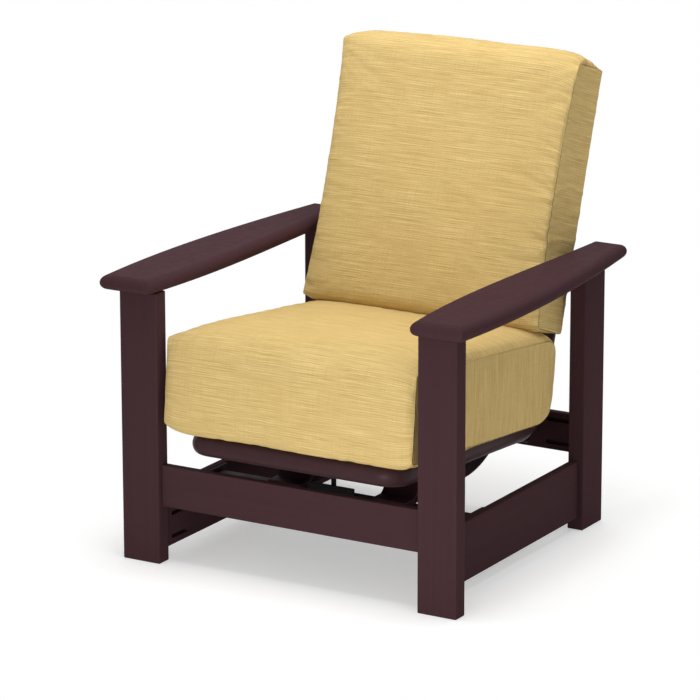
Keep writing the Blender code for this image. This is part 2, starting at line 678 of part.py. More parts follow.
def make_springs(pieces, parents):
    """Four flat springs, with clamp plates and bolts through the crossbar and the saddles."""
    paths = {
        "front": rounded(front_spring_path(), (0, FRONT_SPRING_BEND, FRONT_SPRING_BEND, 0), 5),
        "rear": rounded(rear_spring_path(), (0, REAR_SPRING_BEND, 0), 10),
    }
    for word, path in paths.items():
        for side, hand in SIDES:
            low = side * SPRING_OFFSET - SPRING_WIDTH / 2
            shape = bmesh.new()
            add_rings(shape, strip_rings(path, SPRING_THICKNESS, low, low + SPRING_WIDTH))
            name = word + "_spring_" + hand
            pieces[name] = add_object(name, finished_mesh(shape, name), parents["base"], "frame_paint")

    slack = SPRING_BOLT_CLEARANCE
    bores = {}
    for member, body, springs, place in spring_ends():
        stations = bolt_stations(len(springs))
        hexagons = (0, 1, 4, 5) if len(springs) == 1 else (0, 1)
        bore = [(0.0, SPRING_BOLT_RADIUS + slack), (BOLT_STACK + TOUCH, SPRING_BOLT_RADIUS + slack)]
        if len(springs) == 2:
            end = BOLT_STACK + SPRING_THICKNESS
            bore[1:] = [(end - SPRING_BOLT_SUNK - slack, SPRING_BOLT_RADIUS + slack),
                        (end + slack, SPRING_BOLT_FLAT + slack), (end + NUT_THICKNESS, SPRING_BOLT_FLAT + slack)]
        for side, hand in SIDES:
            edge = side * SPRING_OFFSET - SPRING_WIDTH / 2
            plate = bmesh.new()
            add_plate(plate, place, (edge, edge + SPRING_WIDTH), (-CLAMP_WIDTH / 2, CLAMP_WIDTH / 2),
                      (0.0, CLAMP_THICKNESS))
            name = member + "_clamp_" + hand
            finish = "frame_paint" if body == "base" else "zinc"
            clamp = add_object(name, finished_mesh(plate, name), parents[body], finish)
            bolts = bmesh.new()
            for sign in (-1, 1):
                x = side * SPRING_OFFSET + sign * SPRING_BOLT_SPACING / 2
                start = Vector((x,) + place(0.0, 0.0))
                along = Vector((x,) + place(0.0, 1.0)) - start
                add_rod(bolts, start, along, stations, 12, hexagons)
                for piece in [member] + [word + "_spring_" + hand for word in springs]:
                    add_rod(bores.setdefault((piece, member), bmesh.new()), start, along, bore, 12)
            combine(clamp, finished_mesh(bolts, name + "_bolts"), "bolts", "UNION")
    for (name, member), shape in bores.items():
        combine(pieces[name], finished_mesh(shape, name + "_bores"), member + "_bores")


def make_stop(base):
    """Folded bracket on the crossbar, with a rubber-capped post under the second seat slat."""
    wall = CROSSBAR_DEPTH - TOUCH - STOP_PLATE / 2
    shelf = CROSSBAR_TOP + STOP_SHELF
    ahead = CROSSBAR_DEPTH - STOP_FORWARD
    path = [(wall, CROSSBAR_TOP - MEMBER_HEIGHT + MEMBER_CORNER), (wall, shelf), (ahead, shelf), (ahead, STOP_TOP)]
    shape = bmesh.new()
    add_rings(shape, strip_rings(rounded(path, (0, STOP_FOLD, STOP_FOLD, 0), 3), STOP_PLATE,
                                 -STOP_WIDTH / 2, STOP_WIDTH / 2))
    add_object("stop_bracket", finished_mesh(shape, "stop_bracket"), base, "black_steel")

    depth = ahead + STOP_FOLD + TOUCH + STOP_POST_RADIUS
    slat = side_line((depth - SEAT_FRONT_DEPTH) / math.cos(SEAT_TILT), SLAT_LIFT - SLAT_THICKNESS / 2)
    top = slat[1] - STOP_TRAVEL
    bottom = top - STOP_CAP_HEIGHT
    socket = bottom + STOP_CAP_SOCKET
    hole = STOP_POST_RADIUS + TOUCH
    shape = bmesh.new()
    add_rod(shape, (0, depth, 0), (0, 0, 1),
            ((shelf + STOP_PLATE / 2 + TOUCH, STOP_POST_RADIUS), (socket - TOUCH, STOP_POST_RADIUS)), 16)
    add_object("stop_post", finished_mesh(shape, "stop_post"), base, "black_steel")
    shape = bmesh.new()
    add_rod(shape, (0, depth, 0), (0, 0, 1), (
        (socket, hole), (bottom, hole), (bottom, STOP_CAP_RADIUS), (top - STOP_CAP_EDGE, STOP_CAP_RADIUS),
        (top, STOP_CAP_RADIUS - STOP_CAP_EDGE)), 16)
    add_object("stop_cap", finished_mesh(shape, "stop_cap"), base, "black_rubber")


def cushion_outline(corners, radii, edge_steps=6, corner_steps=4):
    """Rounded outline of four corners, with the same count of points whatever its size."""
    flat = rounded(corners, radii, corner_steps, closed=True)
    count = corner_steps + 1
    made = []
    for k in range(4):
        arc = flat[k * count:(k + 1) * count]
        after = flat[(k + 1) * count % len(flat)]
        made += arc
        for step in range(1, edge_steps):
            share = step / edge_steps
            made.append(tuple(a + (b - a) * share for a, b in zip(arc[-1], after)))
    return np.array(made)


def make_cushion(name, place, seam, proud, radii, rest, rest_power, half_width, seat):
    """Boxed cushion: the outline at the seams swells to the middle's, and lies flat on its rest."""
    middle = []
    for (along, up), (forward, crown) in zip(seam, proud):
        middle.append((along + forward, up + crown if crown else rest))
    edge = cushion_outline(seam, radii)
    core = cushion_outline(middle, radii)
    height = (edge[:, 1] - edge[:, 1].min()) / np.ptp(edge[:, 1])
    power = (rest_power + (CROWN_POWER - rest_power) * height)[:, None]
    centre = edge.mean(axis=0)
    rings = []
    for shrink, bulge in ((0.5, 1.0), (0.86, 0.6)):
        rings.append((-half_width - PANEL_BULGE * bulge, centre + (edge - centre) * shrink))
    for share in (-1, -0.93, -0.84, -0.68, -0.45, -0.2, 0, 0.2, 0.45, 0.68, 0.84, 0.93, 1):
        rings.append((share * half_width, edge + (core - edge) * (1 - abs(share) ** power)))
    for shrink, bulge in ((0.86, 0.6), (0.5, 1.0)):
        rings.append((half_width + PANEL_BULGE * bulge, centre + (edge - centre) * shrink))
    shape = bmesh.new()
    add_rings(shape, [[(x,) + place(along, up) for along, up in outline] for x, outline in rings])
    add_object(name, finished_mesh(shape, name, math.radians(50)), seat, "fabric")


def make_cushions(seat):
    make_cushion("seat_cushion", frame_at(0.0), SEAT_SEAM, SEAT_PROUD, SEAT_CORNERS, SEAT_REST, 8,
                 TUBE_HALF_SPAN + SEAT_CUSHION_SIDE, seat)
    vertex = frame_at(BEND_END)

    def place(along, up):
        return vertex(along - BEND_TANGENT, up)
    make_cushion("back_cushion", place, BACK_SEAM, BACK_PROUD, BACK_CORNERS, BACK_REST, 14,
                 TUBE_HALF_SPAN + BACK_CUSHION_SIDE, seat)


def centre_chair(base):
    """Moves the chair so that the world's origin lies under the middle of its box."""
    bpy.context.view_layer.update()
    corners = [thing.matrix_world @ Vector(corner) for thing in bpy.data.objects
               if thing.type == "MESH" and not thing.hide_render for corner in thing.bound_box]
    for axis in (0, 1):
        values = [corner[axis] for corner in corners]
        base.location[axis] -= (min(values) + max(values)) / 2


def main():
    clear_scene()
    base = add_empty("base", (0, 0, 0))
    seat = add_empty("seat_unit", (0, *rock_axis()), base)
    pieces = make_legs_and_rails(base)
    for side, word in SIDES:
        pieces["arm_" + word] = make_arm(side, word, base)
    make_rail_bolts(pieces, base)
    make_pegs(pieces)
    make_crossbar(pieces, base)
    make_seat_frame(pieces, seat)
    make_springs(pieces, {"base": base, "seat": seat})
    make_stop(base)
    make_cushions(seat)
    centre_chair(base)


main()
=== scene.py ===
# Looks of the glider chair: camera, light, boards, painted frame, springs and the two cushions.
# Metres throughout; the front of the chair faces -Y, the left arm is at -X.
import math

import bpy
import numpy as np
from mathutils import Matrix


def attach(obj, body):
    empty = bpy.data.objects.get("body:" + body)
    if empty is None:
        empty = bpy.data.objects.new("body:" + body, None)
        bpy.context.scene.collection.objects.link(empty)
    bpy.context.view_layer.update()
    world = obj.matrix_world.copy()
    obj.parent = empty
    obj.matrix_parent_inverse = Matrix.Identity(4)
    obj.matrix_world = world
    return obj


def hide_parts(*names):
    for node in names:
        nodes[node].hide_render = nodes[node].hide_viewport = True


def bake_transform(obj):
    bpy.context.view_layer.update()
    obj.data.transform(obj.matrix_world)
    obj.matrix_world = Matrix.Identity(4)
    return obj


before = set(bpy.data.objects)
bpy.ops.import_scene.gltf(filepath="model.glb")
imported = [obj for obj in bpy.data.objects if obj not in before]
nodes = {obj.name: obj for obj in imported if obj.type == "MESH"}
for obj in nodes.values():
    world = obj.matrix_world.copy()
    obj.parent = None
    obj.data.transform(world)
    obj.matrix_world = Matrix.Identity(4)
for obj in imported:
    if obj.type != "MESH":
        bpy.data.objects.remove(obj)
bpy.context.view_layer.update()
print("frame loaded:", len(nodes), "solids")

photoView = {
    "place": (4.16972, -7.20113, 2.68356),
    "azimuth": 30.64,
    "elevation": 15.32,
    "roll": -0.08,
    "lens": 211.925,  # on a 36 mm sensor
}

chairShift = -0.418974  # from the front legs' front face to the middle of the chair's box


def addNode(tree, kind, settings=(), **inputs):
    # a shader node with its settings and its inputs by name
    made = tree.nodes.new("ShaderNode" + kind)
    for key, value in dict(settings).items():
        setattr(made, key, value)
    for key, value in inputs.items():
        made.inputs[key].default_value = value
    return made


def addCamera(view):
    # turned by azimuth, elevation and roll: the camera looks along minus the third column, its back
    azimuth, elevation, roll = (math.radians(view[key]) for key in ("azimuth", "elevation", "roll"))
    back = np.array([math.sin(azimuth) * math.cos(elevation), -math.cos(azimuth) * math.cos(elevation),
                     math.sin(elevation)])
    right = np.array([math.cos(azimuth), math.sin(azimuth), 0.0])
    up = np.cross(back, right)
    turned = np.column_stack((right * math.cos(roll) + up * math.sin(roll),
                              up * math.cos(roll) - right * math.sin(roll), back))
    data = bpy.data.cameras.new("photoCamera")
    data.lens = view["lens"]
    data.sensor_width = 36
    data.clip_end = 100
    camera = bpy.data.objects.new("photoCamera", data)
    bpy.context.scene.collection.objects.link(camera)
    camera.matrix_world = Matrix.Translation(view["place"]) @ Matrix(turned.tolist()).to_4x4()
    bpy.context.scene.camera = camera


studio = {
    "ambient": 0.42,
    "lamps": [  # name, place, size, power
        ("topLamp", (0.2, 0.0, 4.0), 3.0, 48),
        ("nearLamp", (0.0, -0.40, 1.85), 0.9, 8.5),
        ("rearLamp", (0.0, 1.2, 3.2), 1.6, 19),
        ("lowLamp", (0.3, -1.5, 0.15), 0.8, 9.5),
        ("rightLamp", (2.6, -1.0, 0.30), 1.2, 10),
    ],
    "lampAim": (0, 0, 0.45),
    "floorReach": 40.0,
    "floorColour": (0.78, 0.78, 0.78, 1),
    "floorBounce": (0.92, 0.92, 0.92, 1),  # what the floor sends back up to the chair
    "floorGlow": 0.40,  # brings the open floor up to the white of the backdrop
    "shadowBox": ((0.0, -0.05, 0.0), (0.36, 0.47, 9.0)),  # middle and half sizes
    "shadowReach": (0.04, 0.30),  # the floor turns plain white this far outside the box
}


def aimAt(thing, target):
    # turns a lamp so that its -Z axis points at the target
    away = np.array(thing.location) - np.array(target)
    away /= np.linalg.norm(away)
    right = np.cross((0, 0, 1), away)
    right = right / np.linalg.norm(right) if np.linalg.norm(right) > 1e-6 else np.array([1.0, 0, 0])
    turned = np.column_stack((right, np.cross(away, right), away))
    thing.rotation_euler = Matrix(turned.tolist()).to_euler()


def addWorld(spec):
    # camera, mirror and glass rays see plain white, all others the ambient light
    world = bpy.data.worlds.new("studioWorld")
    bpy.context.scene.world = world
    world.use_nodes = True
    tree = world.node_tree
    background = tree.nodes["Background"]
    background.inputs["Color"].default_value = (1, 1, 1, 1)
    rays = addNode(tree, "LightPath")
    seen = rays.outputs["Is Camera Ray"]
    for kind in ("Glossy", "Transmission"):
        either = addNode(tree, "Math", {"operation": "MAXIMUM"})
        tree.links.new(seen, either.inputs[0])
        tree.links.new(rays.outputs["Is " + kind + " Ray"], either.inputs[1])
        seen = either.outputs[0]
    strength = addNode(tree, "Mix")
    strength.inputs["A"].default_value, strength.inputs["B"].default_value = spec["ambient"], 1.0
    tree.links.new(seen, strength.inputs["Factor"])
    tree.links.new(strength.outputs["Result"], background.inputs["Strength"])


def addLamps(spec):
    for name, place, size, power in spec["lamps"]:
        data = bpy.data.lights.new(name, "AREA")
        data.size = size
        data.energy = power
        lamp = bpy.data.objects.new(name, data)
        bpy.context.scene.collection.objects.link(lamp)
        lamp.location = place
        aimAt(lamp, spec["lampAim"])


def outsideBox(tree, box):
    # distance outside the box: length(max(|place - middle| - half, 0))
    place = addNode(tree, "TexCoord").outputs["Object"]
    for operation, operand in (("SUBTRACT", box[0]), ("ABSOLUTE", None), ("SUBTRACT", box[1]),
                               ("MAXIMUM", (0, 0, 0)), ("LENGTH", None)):
        step = addNode(tree, "VectorMath", {"operation": operation})
        tree.links.new(place, step.inputs[0])
        if operand:
            step.inputs[1].default_value = operand
        place = step.outputs["Value" if operation == "LENGTH" else "Vector"]
    return place


def addFloor(spec):
    # a matt floor that shows the shadow round the chair and fades to plain white further out, for the camera
    reach = spec["floorReach"]
    mesh = bpy.data.meshes.new("floor")
    mesh.from_pydata([(-reach, -reach, 0), (reach, -reach, 0), (reach, reach, 0), (-reach, reach, 0)],
                     [], [(0, 1, 2, 3)])
    floor = bpy.data.objects.new("floor", mesh)
    bpy.context.scene.collection.objects.link(floor)
    surface = bpy.data.materials.new("paleFloor")
    surface.use_nodes = True
    tree = surface.node_tree
    shader = tree.nodes["Principled BSDF"]
    shader.inputs["Roughness"].default_value = 1.0
    shader.inputs["Specular IOR Level"].default_value = 0.0
    shader.inputs["Emission Color"].default_value = (1, 1, 1, 1)
    camera = addNode(tree, "LightPath").outputs["Is Camera Ray"]
    tint = addNode(tree, "Mix", {"data_type": "RGBA"})
    tint.inputs[6].default_value = spec["floorBounce"]
    tint.inputs[7].default_value = spec["floorColour"]
    tree.links.new(camera, tint.inputs["Factor"])
    tree.links.new(tint.outputs[2], shader.inputs["Base Color"])
    glow = addNode(tree, "Math", {"operation": "MULTIPLY"})
    glow.inputs[1].default_value = spec["floorGlow"]
    tree.links.new(camera, glow.inputs[0])
    tree.links.new(glow.outputs[0], shader.inputs["Emission Strength"])
    fade = addNode(tree, "MapRange", {"interpolation_type": "SMOOTHSTEP"})
    fade.inputs["From Min"].default_value, fade.inputs["From Max"].default_value = spec["shadowReach"]
    tree.links.new(outsideBox(tree, spec["shadowBox"]), fade.inputs["Value"])
    share = addNode(tree, "Math", {"operation": "MULTIPLY"})
    tree.links.new(camera, share.inputs[0])
    tree.links.new(fade.outputs["Result"], share.inputs[1])
    white = addNode(tree, "Emission")
    blend = addNode(tree, "MixShader")
    tree.links.new(share.outputs[0], blend.inputs["Fac"])
    tree.links.new(shader.outputs["BSDF"], blend.inputs[1])
    tree.links.new(white.outputs["Emission"], blend.inputs[2])
    tree.links.new(blend.outputs["Shader"], tree.nodes["Material Output"].inputs["Surface"])
    mesh.materials.append(surface)


addCamera(photoView)
addWorld(studio)
addLamps(studio)
addFloor(studio)
bpy.context.scene.view_settings.view_transform = "Standard"
print("camera, lamps and floor placed")


def newMaterial(name, colour, roughness, gloss=0.5):
    made = bpy.data.materials.new(name)
    made.use_nodes = True
    shader = made.node_tree.nodes["Principled BSDF"]
    shader.inputs["Base Color"].default_value = (*colour, 1)
    shader.inputs["Roughness"].default_value = roughness
    shader.inputs["Specular IOR Level"].default_value = gloss
    return made, made.node_tree, shader


def mixed(tree, factor, first, second, amount=1.0):
    # colour mix; first and second are sockets or colours, the factor a socket scaled by the amount
    node = addNode(tree, "Mix", {"data_type": "RGBA"})
    if factor is None:
        node.inputs["Factor"].default_value = amount
    else:
        scaled = addNode(tree, "Math", {"operation": "MULTIPLY"})
        tree.links.new(factor, scaled.inputs[0])
        scaled.inputs[1].default_value = amount
        tree.links.new(scaled.outputs[0], node.inputs["Factor"])
    for socket, value in ((node.inputs[6], first), (node.inputs[7], second)):
        if isinstance(value, tuple):
            socket.default_value = (*value, 1)
        else:
            tree.links.new(value, socket)
    return node.outputs[2]


def stretchedNoise(tree, vector, scale, detail=3.0, roughness=0.55):
    # noise whose grain is stretched: the scale gives cycles per metre along each axis
    mapping = addNode(tree, "Mapping", Scale=scale)
    tree.links.new(vector, mapping.inputs["Vector"])
    noise = addNode(tree, "TexNoise", Scale=1.0, Detail=detail, Roughness=roughness)
    tree.links.new(mapping.outputs["Vector"], noise.inputs["Vector"])
    return noise.outputs["Fac"]


def rangeOf(tree, value, low, high, toLow=0.0, toHigh=1.0):
    # a value's range stretched to another, clamped at its ends
    node = addNode(tree, "MapRange")
    tree.links.new(value, node.inputs["Value"])
    for key, number in (("From Min", low), ("From Max", high), ("To Min", toLow), ("To Max", toHigh)):
        node.inputs[key].default_value = number
    return node.outputs["Result"]


boardLook = {
    "colour": (0.056, 0.027, 0.031),
    "dark": (0.046, 0.021, 0.025),
    "light": (0.066, 0.035, 0.040),
    "streakRange": (0.36, 0.64),  # of the noise, from dark to light
    "streakShare": 0.14,
    "cloudShare": 0.04,
    "cloudScale": 7,  # cycles per metre
    "toothScale": 60,
    "roughness": 0.50,
    "roughnessSpread": (-0.05, 0.07),
    "gloss": 0.005,
    "relief": (0.05, 0.0006),  # strength and distance of the bump
    "grain": {"X": (2.0, 90.0, 90.0), "Y": (90.0, 2.0, 90.0), "Z": (90.0, 90.0, 2.0)},
}


def boardMaterial(axis):
    # moulded plastic board: faint streaks along the board, a fine tooth in the gloss
    look = boardLook
    made, tree, shader = newMaterial("plasticBoard" + axis, look["colour"], look["roughness"], look["gloss"])
    place = addNode(tree, "TexCoord").outputs["Object"]
    streak = stretchedNoise(tree, place, look["grain"][axis], 4.0)
    cloud = stretchedNoise(tree, place, (look["cloudScale"],) * 3, 2.0)
    tooth = stretchedNoise(tree, place, (look["toothScale"],) * 3, 5.0)
    shade = mixed(tree, rangeOf(tree, streak, *look["streakRange"]), look["dark"], look["light"])
    shade = mixed(tree, None, look["colour"], shade, amount=look["streakShare"])
    shade = mixed(tree, rangeOf(tree, cloud, 0.3, 0.7), shade, look["light"], amount=look["cloudShare"])
    tree.links.new(shade, shader.inputs["Base Color"])
    low, high = (look["roughness"] + spread for spread in look["roughnessSpread"])
    tree.links.new(rangeOf(tree, tooth, 0.3, 0.7, low, high), shader.inputs["Roughness"])
    bump = addNode(tree, "Bump", Strength=look["relief"][0], Distance=look["relief"][1])
    tree.links.new(streak, bump.inputs["Height"])
    tree.links.new(bump.outputs["Normal"], shader.inputs["Normal"])
    return made


coats = {  # colour, roughness, orange peel, gloss
    "framePaint": ((0.040, 0.017, 0.020), 0.36, 0.08, 0.11),
    "springPaint": ((0.034, 0.014, 0.017), 0.55, 0.08, 0.06),
    "zincPlate": ((0.46, 0.46, 0.45), 0.36, 0.05, 0.5),
    "blackPaint": ((0.012, 0.012, 0.013), 0.5, 0.12, 0.12),
    "blackRubber": ((0.018, 0.018, 0.018), 0.75, 0.2, 0.2),
}
coatLook = {
    "peelScale": 450,  # cycles per metre
    "peelDepth": 0.0004,
    "hazeScale": 18,
    "hazeShare": 0.5,
    "paler": 1.25,
    "roughnessSpread": (-0.05, 0.08),
}


def coatedMaterial(name, metallic=0.0):
    # powder coat, plating or rubber: slight orange peel and uneven gloss
    colour, roughness, orangePeel, gloss = coats[name]
    made, tree, shader = newMaterial(name, colour, roughness, gloss)
    shader.inputs["Metallic"].default_value = metallic
    place = addNode(tree, "TexCoord").outputs["Object"]
    peel = stretchedNoise(tree, place, (coatLook["peelScale"],) * 3, 2.0)
    haze = stretchedNoise(tree, place, (coatLook["hazeScale"],) * 3, 4.0)
    low, high = (roughness + spread for spread in coatLook["roughnessSpread"])
    tree.links.new(rangeOf(tree, haze, 0.3, 0.7, low, high), shader.inputs["Roughness"])
    paler = tuple(c * coatLook["paler"] for c in colour)
    shade = mixed(tree, rangeOf(tree, haze, 0.3, 0.7), colour, paler, amount=coatLook["hazeShare"])
    tree.links.new(shade, shader.inputs["Base Color"])
    bump = addNode(tree, "Bump", Strength=orangePeel, Distance=coatLook["peelDepth"])
    tree.links.new(peel, bump.inputs["Height"])
    tree.links.new(bump.outputs["Normal"], shader.inputs["Normal"])
    return made


fabricLook = {
    "base": (0.625, 0.440, 0.166),
    "dark": (0.400, 0.262, 0.080),
    "light": (0.900, 0.700, 0.330),
    "fuzz": (0.80, 0.50, 0.15),
    # darker colour along each seam: partly the stitched seam's own darker line, partly painted shade of the
    # crease beside it
    "seamStitchAndShade": (0.36, 0.225, 0.075),
    "slubs": (9.0, 1000.0, 1.0),  # cycles per metre along and across the yarn
    "threads": (26.0, 1700.0, 1.0),
    "bands": (5.0, 150.0, 1.0),
    "warp": (800.0, 14.0, 1.0),
    "clouds": (9, 9, 9),
    "ribPitch": 0.0049,  # thicker yarns stand this far apart
    "ribSqueeze": 0.03,  # how fast they wander along the yarn, as a share of across it
    "ribWave": 1.6,
    "crossPitch": 0.011,  # of the slight unevenness in both directions
    "shares": {"slub": 0.70, "rib": 0.34, "thread": 0.40, "band": 0.16, "warp": 0.28, "cloud": 0.25,
               "seam": 0.32},
    "seamStitchAndShadeSpan": (0.0025, 0.0004),  # the stitching's darker tone and the painted shade at a seam grow between these distances from it
    "sheen": (0.02, 0.5),  # weight and roughness
    "relief": (0.5, 0.0007),
    "slubRelief": 2.2,  # against 1 for the crossed waves
}


def crossedWaves(tree, uv, pitch):
    # product of two waves at right angles; a wave of scale 1 repeats every 0.314 m
    heights = []
    for turned in ((0, 0, 0), (0, 0, math.pi / 2)):
        mapping = addNode(tree, "Mapping", Rotation=turned)
        tree.links.new(uv, mapping.inputs["Vector"])
        wave = addNode(tree, "TexWave", {"bands_direction": "Y"}, Scale=0.314 / pitch, Distortion=0.6)
        wave.inputs["Detail Scale"].default_value = 2.0
        tree.links.new(mapping.outputs["Vector"], wave.inputs["Vector"])
        heights.append(wave.outputs["Fac"])
    both = addNode(tree, "Math", {"operation": "MULTIPLY"})
    tree.links.new(heights[0], both.inputs[0])
    tree.links.new(heights[1], both.inputs[1])
    return both.outputs[0]


def fabricMaterial():
    # slub weave: long uneven streaks and ribs along U, a faint warp along V, a darker line along the seams
    # that is partly the stitching's own tone and partly painted shade of the crease, and the streaks in
    # relief
    look = fabricLook
    shares = look["shares"]
    made, tree, shader = newMaterial("slubWeave", look["base"], 0.95, 0.0)
    for key, number in zip(("Sheen Weight", "Sheen Roughness"), look["sheen"]):
        shader.inputs[key].default_value = number
    shader.inputs["Sheen Tint"].default_value = (*look["fuzz"], 1)
    uv = addNode(tree, "UVMap", {"uv_map": "weave"}).outputs["UV"]
    place = addNode(tree, "TexCoord").outputs["Object"]
    slub = stretchedNoise(tree, uv, look["slubs"], 3.0, 0.6)
    thread = stretchedNoise(tree, uv, look["threads"], 2.0)
    warp = stretchedNoise(tree, uv, look["warp"], 2.0)
    band = stretchedNoise(tree, uv, look["bands"], 1.0)
    cloud = stretchedNoise(tree, place, look["clouds"], 2.0)
    squeezed = addNode(tree, "Mapping", Scale=(look["ribSqueeze"], 1.0, 1.0))
    tree.links.new(uv, squeezed.inputs["Vector"])
    rib = addNode(tree, "TexWave", {"bands_direction": "Y"}, Scale=0.314 / look["ribPitch"],
                  Distortion=look["ribWave"])
    tree.links.new(squeezed.outputs["Vector"], rib.inputs["Vector"])
    # distance from the seam, which darkens the weave towards it: the stitching's own tone and painted crease
    # shade
    seam = addNode(tree, "Attribute", {"attribute_name": "seamDistance"}).outputs["Fac"]

    shade = mixed(tree, rangeOf(tree, slub, 0.36, 0.64), look["dark"], look["light"])
    shade = mixed(tree, None, look["base"], shade, amount=shares["slub"])
    for value, low, high, colour, share in (
            (rib.outputs["Fac"], 0.2, 0.9, "dark", "rib"),
            (thread, 0.4, 0.65, "light", "thread"),
            (band, 0.40, 0.62, "dark", "band"),
            (warp, 0.5, 0.75, "dark", "warp"),
            (cloud, 0.35, 0.7, "base", "cloud"),
            (seam, *look["seamStitchAndShadeSpan"], "seamStitchAndShade", "seam")):
        shade = mixed(tree, rangeOf(tree, value, low, high), shade, look[colour], amount=shares[share])
    tree.links.new(shade, shader.inputs["Base Color"])

    relief = addNode(tree, "Math", {"operation": "MULTIPLY_ADD"})
    tree.links.new(slub, relief.inputs[0])
    relief.inputs[1].default_value = look["slubRelief"]
    tree.links.new(crossedWaves(tree, uv, look["crossPitch"]), relief.inputs[2])
    bump = addNode(tree, "Bump", Strength=look["relief"][0], Distance=look["relief"][1])
    tree.links.new(relief.outputs[0], bump.inputs["Height"])
    tree.links.new(bump.outputs["Normal"], shader.inputs["Normal"])
    return made


boards = {axis: boardMaterial(axis) for axis in "XYZ"}
coated = {name: coatedMaterial(name, 1.0 if name == "zincPlate" else 0.0) for name in coats}
fabric = fabricMaterial()
print("materials made")


def roundedPath(points, radii, steps, closed=False):
    # corners of a flat path replaced by arcs: the centre lies on the bisector, at the radius over the sine of
    # half the angle
    made = []
    points = np.asarray(points, float)
    for k, corner in enumerate(points):
        if radii[k] == 0 or (not closed and k in (0, len(points) - 1)):
            made.append(corner[None])
            continue
        before = points[k - 1] - corner
        after = points[(k + 1) % len(points)] - corner
        before /= np.linalg.norm(before)
        after /= np.linalg.norm(after)
        half = math.acos(float(np.clip(before @ after, -1, 1))) / 2
        centre = corner + (before + after) / np.linalg.norm(before + after) * radii[k] / math.sin(half)
        spoke = corner + before * radii[k] / math.tan(half) - centre
        turn = 1.0 if before[0] * after[1] < before[1] * after[0] else -1.0
        angle = turn * (math.pi - 2 * half) * np.linspace(0, 1, steps + 1)
        made.append(centre + np.column_stack((spoke[0] * np.cos(angle) - spoke[1] * np.sin(angle),
                                              spoke[0] * np.sin(angle) + spoke[1] * np.cos(angle))))
    return np.vstack(made)


def gridQuads(rows, columns, wrapRows=False, wrapColumns=False):
    # quads of a grid numbered row by row
    i, j = np.meshgrid(np.arange(rows if wrapRows else rows - 1),
                       np.arange(columns if wrapColumns else columns - 1), indexing="ij")
    i, j = i.ravel(), j.ravel()
    nextRow, nextColumn = (i + 1) % rows, (j + 1) % columns
    return np.column_stack((i * columns + j, nextRow * columns + j,
                            nextRow * columns + nextColumn, i * columns + nextColumn))


def turnedOut(vertices, faces):
    # flips every face if the closed shell's signed volume is negative
    volume = 0.0
    for group in faces:
        corner = vertices[group]
        for k in range(1, group.shape[1] - 1):
            volume += np.einsum("ij,ij->i", corner[:, 0], np.cross(corner[:, k], corner[:, k + 1])).sum()
    return [group[:, ::-1] for group in faces] if volume < 0 else faces


def dress(node, surface):
    # one material in the place of all others
    node.data.materials.clear()
    node.data.materials.append(surface)


def addPiece(name, vertices, faces, body, surface):
    # a smooth mesh piece from arrays; one without a body is left unattached here, and the cushions are
    # attached once they are shaped
    mesh = bpy.data.meshes.new(name)
    mesh.from_pydata(vertices.tolist(), [], [face for group in faces for face in group.tolist()])
    mesh.shade_smooth()
    mesh.materials.append(surface)
    piece = bpy.data.objects.new(name, mesh)
    bpy.context.scene.collection.objects.link(piece)
    if body:
        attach(piece, body)
    return piece


armShape = {
    "top": 0.6104,
    "thickness": 0.032,
    "legInner": 0.307,
    "outer": (0.1170, 0.1260, 0.1107, 0.0777),  # edges outside the legs' inner faces at four even stations
    "inner": (-0.0011, -0.0179, -0.0109, -0.0011),
    "front": -0.030,
    "rear": 0.7508,
    "alongSteps": 90,
    "edgeSteps": 12,
    "sharp": math.radians(40),
}


def armEdge(offsets, share):
    # cubic through four even stations, by Lagrange's formula
    total = np.zeros_like(share)
    for k, offset in enumerate(offsets):
        term = np.full_like(share, armShape["legInner"] + offset)
        for m in range(4):
            if m != k:
                term *= (share * 3 - m) / (k - m)
        total += term
    return total


def makeArm(side, word):
    # plan outline of the arm, drawn in level by level by radius * (1 - cos(angle)): a half-round edge
    shape = armShape
    radius = shape["thickness"] / 2
    angle = np.pi * (np.linspace(0, 1, shape["edgeSteps"] + 1) - 0.5)
    inset = radius * (1 - np.cos(angle))
    height = shape["top"] - radius + radius * np.sin(angle)
    share = np.linspace(0, 1, shape["alongSteps"] + 1)
    rings = []
    for step, level in zip(inset, height):
        depth = shape["front"] + step + (shape["rear"] - shape["front"] - 2 * step) * share
        s = (depth - shape["front"]) / (shape["rear"] - shape["front"])
        outer = armEdge(shape["outer"], s) - step
        inner = armEdge(shape["inner"], s) + step
        x = np.concatenate((outer, inner[::-1])) * side
        y = np.concatenate((depth, depth[::-1])) + chairShift
        rings.append(np.column_stack((x, y, np.full(len(x), level))))
    count = len(rings[0])
    vertices = np.vstack(rings)
    faces = [gridQuads(len(rings), count, wrapColumns=True)]
    for first in (0, (len(rings) - 1) * count):  # underside and top, quads from the outer to the inner edge
        k = np.arange(shape["alongSteps"])
        cap = first + np.column_stack((k, k + 1, count - 2 - k, count - 1 - k))
        faces.append(cap[:, ::-1] if first == 0 else cap)
    faces = turnedOut(vertices, faces)
    piece = addPiece("armBoard" + word.title(), vertices, faces, "base", boards["Y"])
    piece.data.set_sharp_from_angle(angle=shape["sharp"])
    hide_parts("arm_" + word)


boardRuns = {  # the axis along which each board runs
    "Z": ["front_leg_left", "front_leg_right", "rear_leg_left", "rear_leg_right"],
    "Y": ["side_rail_left", "side_rail_right"],
    "X": ["front_rail", "rear_rail"],
}
for axis, names in boardRuns.items():
    for name in names:
        dress(nodes[name], boards[axis])
for side, word in ((-1, "left"), (1, "right")):
    makeArm(side, word)
print("boards dressed and arms made")


